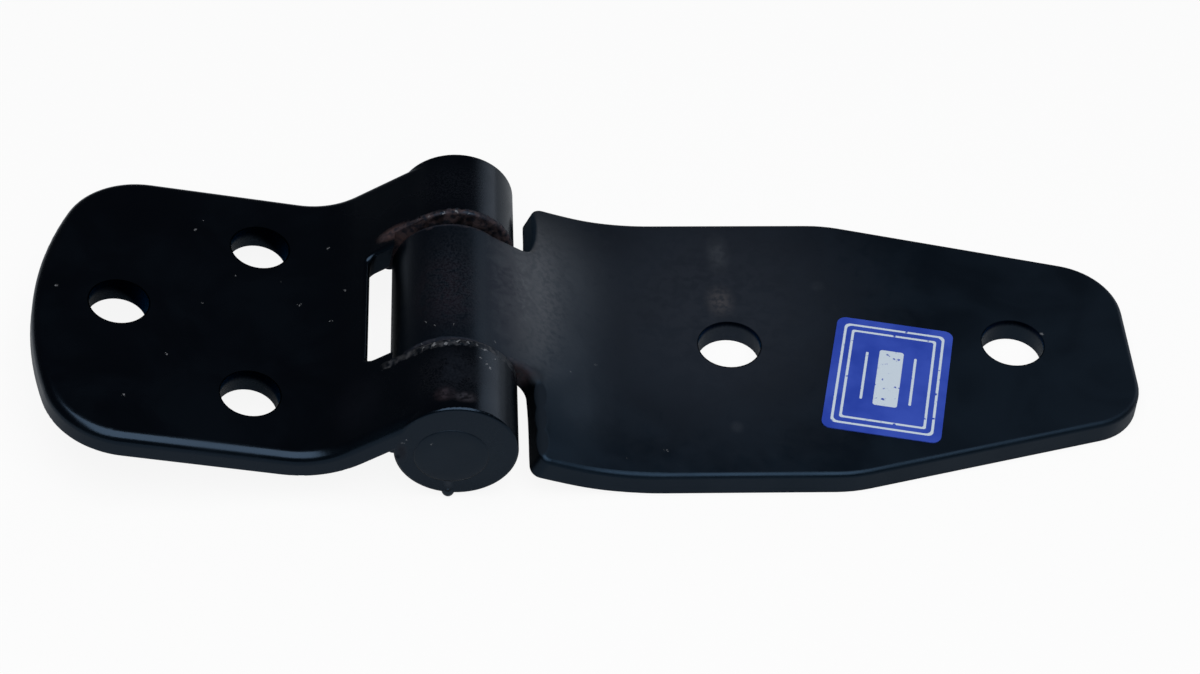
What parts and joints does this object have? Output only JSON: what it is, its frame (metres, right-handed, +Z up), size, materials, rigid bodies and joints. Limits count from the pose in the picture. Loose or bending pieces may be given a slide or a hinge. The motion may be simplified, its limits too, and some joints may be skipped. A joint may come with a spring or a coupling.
{
  "type": "tailgate hinge",
  "caption": "Heavy steel butt hinge for a truck tailgate: a tapered strap leaf and a short fork leaf with bolt holes, their rolled eyes held on one plain pin.",
  "frame": {"origin": "midway between the strap leaf's two bolt holes, on its underside", "axes": "+X along the strap leaf towards its tapered end, +Y along the pin, +Z up out of the mounting face towards the side the eyes stand on"},
  "size_m": [0.2344, 0.0764, 0.0266],
  "materials": {
    "strap_paint": "satin black paint over steel, scuffed",
    "fork_paint": "satin black paint over steel, scuffed and specked",
    "pin_paint": "thick black paint over the pin's ends",
    "label_film": "plain blue film with pale border lines"
  },
  "bodies": {
    "strap": {"strap_leaf": "strap_paint", "blank_label": "label_film"},
    "fork": {"fork_leaf": "fork_paint", "hinge_pin": "pin_paint"}
  },
  "joints": [
    {"name": "leaf_fold", "type": "hinge", "parent": "strap", "child": "fork", "pos_m": [-0.09055, 0, 0.01268], "axis": [0, 1, 0], "range_deg": [-10.75, 110]}
  ]
}
